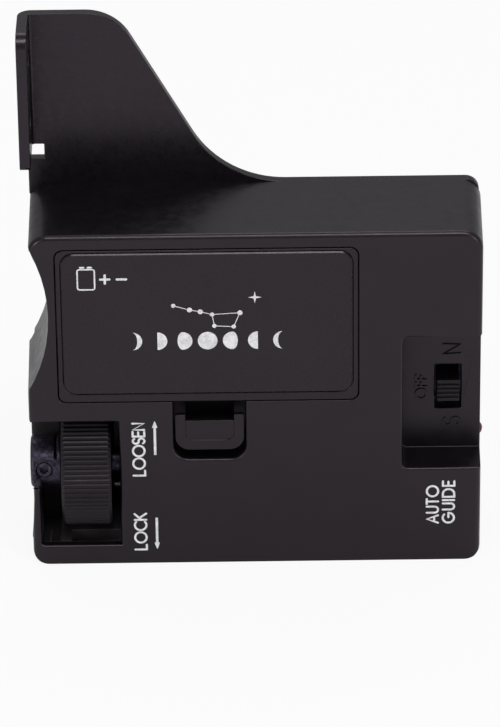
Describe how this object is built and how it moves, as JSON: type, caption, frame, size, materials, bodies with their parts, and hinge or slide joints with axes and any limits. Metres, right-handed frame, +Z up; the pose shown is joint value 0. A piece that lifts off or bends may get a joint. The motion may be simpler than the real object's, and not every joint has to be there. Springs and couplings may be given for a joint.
{
  "type": "motor drive",
  "caption": "Battery-powered star-tracking motor drive for an equatorial telescope mount: flat black housing on a bent steel bracket, shaft coupler, knurled lock wheel, battery door.",
  "frame": {"origin": "middle of the housing's bottom face, halfway through the depth of housing and plate", "axes": "+X to the right seen from the front face, +Y from the front face to the steel back plate, +Z up the bracket"},
  "size_m": [0.0869, 0.0271, 0.1051],
  "materials": {
    "housing_plastic": "black moulded ABS with a fine satin texture",
    "inner_plastic": "plain black moulded plastic",
    "label_film": "semi-gloss black printed film",
    "wheel_plastic": "black moulded plastic, straight knurl",
    "painted_steel": "2 mm steel sheet, satin black paint",
    "black_steel": "black oxide steel",
    "bright_steel": "plain bright steel",
    "brass": "machined brass",
    "gold_contacts": "gold-plated spring wire",
    "battery_case": "thin metal case with a plain dark sleeve",
    "black_rubber": "soft black rubber or foam",
    "red_rubber": "red wire insulation",
    "board_green": "green solder mask on glass fibre",
    "black_moulding": "black moulding compound",
    "white_nylon": "natural white nylon",
    "red_lens": "dark red clear lens, unlit"
  },
  "bodies": {
    "housing": {"front_housing": "housing_plastic", "back_bracket": "painted_steel", "plate_screw_1": "black_steel", "plate_screw_2": "black_steel", "plate_screw_3": "black_steel", "plate_screw_4": "black_steel", "battery_tray": "inner_plastic", "battery_9v": "battery_case", "battery_snap": "black_rubber", "battery_foam": "black_rubber", "shaft_bush_front": "brass", "shaft_bush_rear": "brass", "gearbox": "bright_steel", "motor_can": "bright_steel", "motor_cap": "black_moulding", "gear_plate": "bright_steel", "gear_plate_screw": "black_steel", "bay_pin": "bright_steel", "circuit_board": "board_green", "board_screw_1": "bright_steel", "board_screw_2": "bright_steel", "controller_chip": "black_moulding", "capacitor": "black_moulding", "wire_socket": "white_nylon", "slide_switch_body": "black_steel", "status_led": "red_lens", "guide_jack": "black_moulding", "jack_contacts": "gold_contacts", "battery_lead_red": "red_rubber", "battery_lead_black": "black_rubber", "motor_lead_red": "red_rubber", "motor_lead_black": "black_rubber"},
    "drive": {"drive_shaft": "black_steel", "main_gear": "brass"},
    "coupler": {"coupler_sleeve": "black_steel", "coupler_set_screw": "black_steel", "friction_washer": "black_rubber"},
    "wheel": {"lock_wheel": "wheel_plastic"},
    "pinion": {"output_pinion": "brass"},
    "door": {"battery_door": "housing_plastic", "door_label": "label_film"},
    "latch": {"door_latch": "housing_plastic"},
    "knob": {"switch_knob": "wheel_plastic"}
  },
  "joints": [
    {"name": "drive_spin", "type": "hinge", "parent": "housing", "child": "drive", "pos_m": [0, -0.00255, 0.0174], "axis": [1, 0, 0], "continuous": true},
    {"name": "clutch_slip", "type": "hinge", "parent": "drive", "child": "coupler", "pos_m": [0, -0.00255, 0.0174], "axis": [1, 0, 0], "continuous": true},
    {"name": "wheel_turn", "type": "hinge", "parent": "coupler", "child": "wheel", "pos_m": [0, -0.00255, 0.0174], "axis": [1, 0, 0], "range_deg": [-120, 30]},
    {"name": "pinion_spin", "type": "hinge", "parent": "housing", "child": "pinion", "pos_m": [0, 0.00345, 0.0254], "axis": [1, 0, 0], "continuous": true},
    {"name": "door_hinge", "type": "hinge", "parent": "housing", "child": "door", "pos_m": [0, -0.01225, 0.06705], "axis": [1, 0, 0], "range_deg": [-95, 0]},
    {"name": "latch_flex", "type": "hinge", "parent": "door", "child": "latch", "pos_m": [0, -0.0044, 0.03305], "axis": [1, 0, 0], "range_deg": [-8, 0]},
    {"name": "switch_slide", "type": "slide", "parent": "housing", "child": "knob", "axis": [0, 0, 1], "range_m": [-0.0024, 0.0024]}
  ],
  "couplings": [
    {"joint": "pinion_spin", "follows": "drive_spin", "ratio": -1.8571}
  ]
}
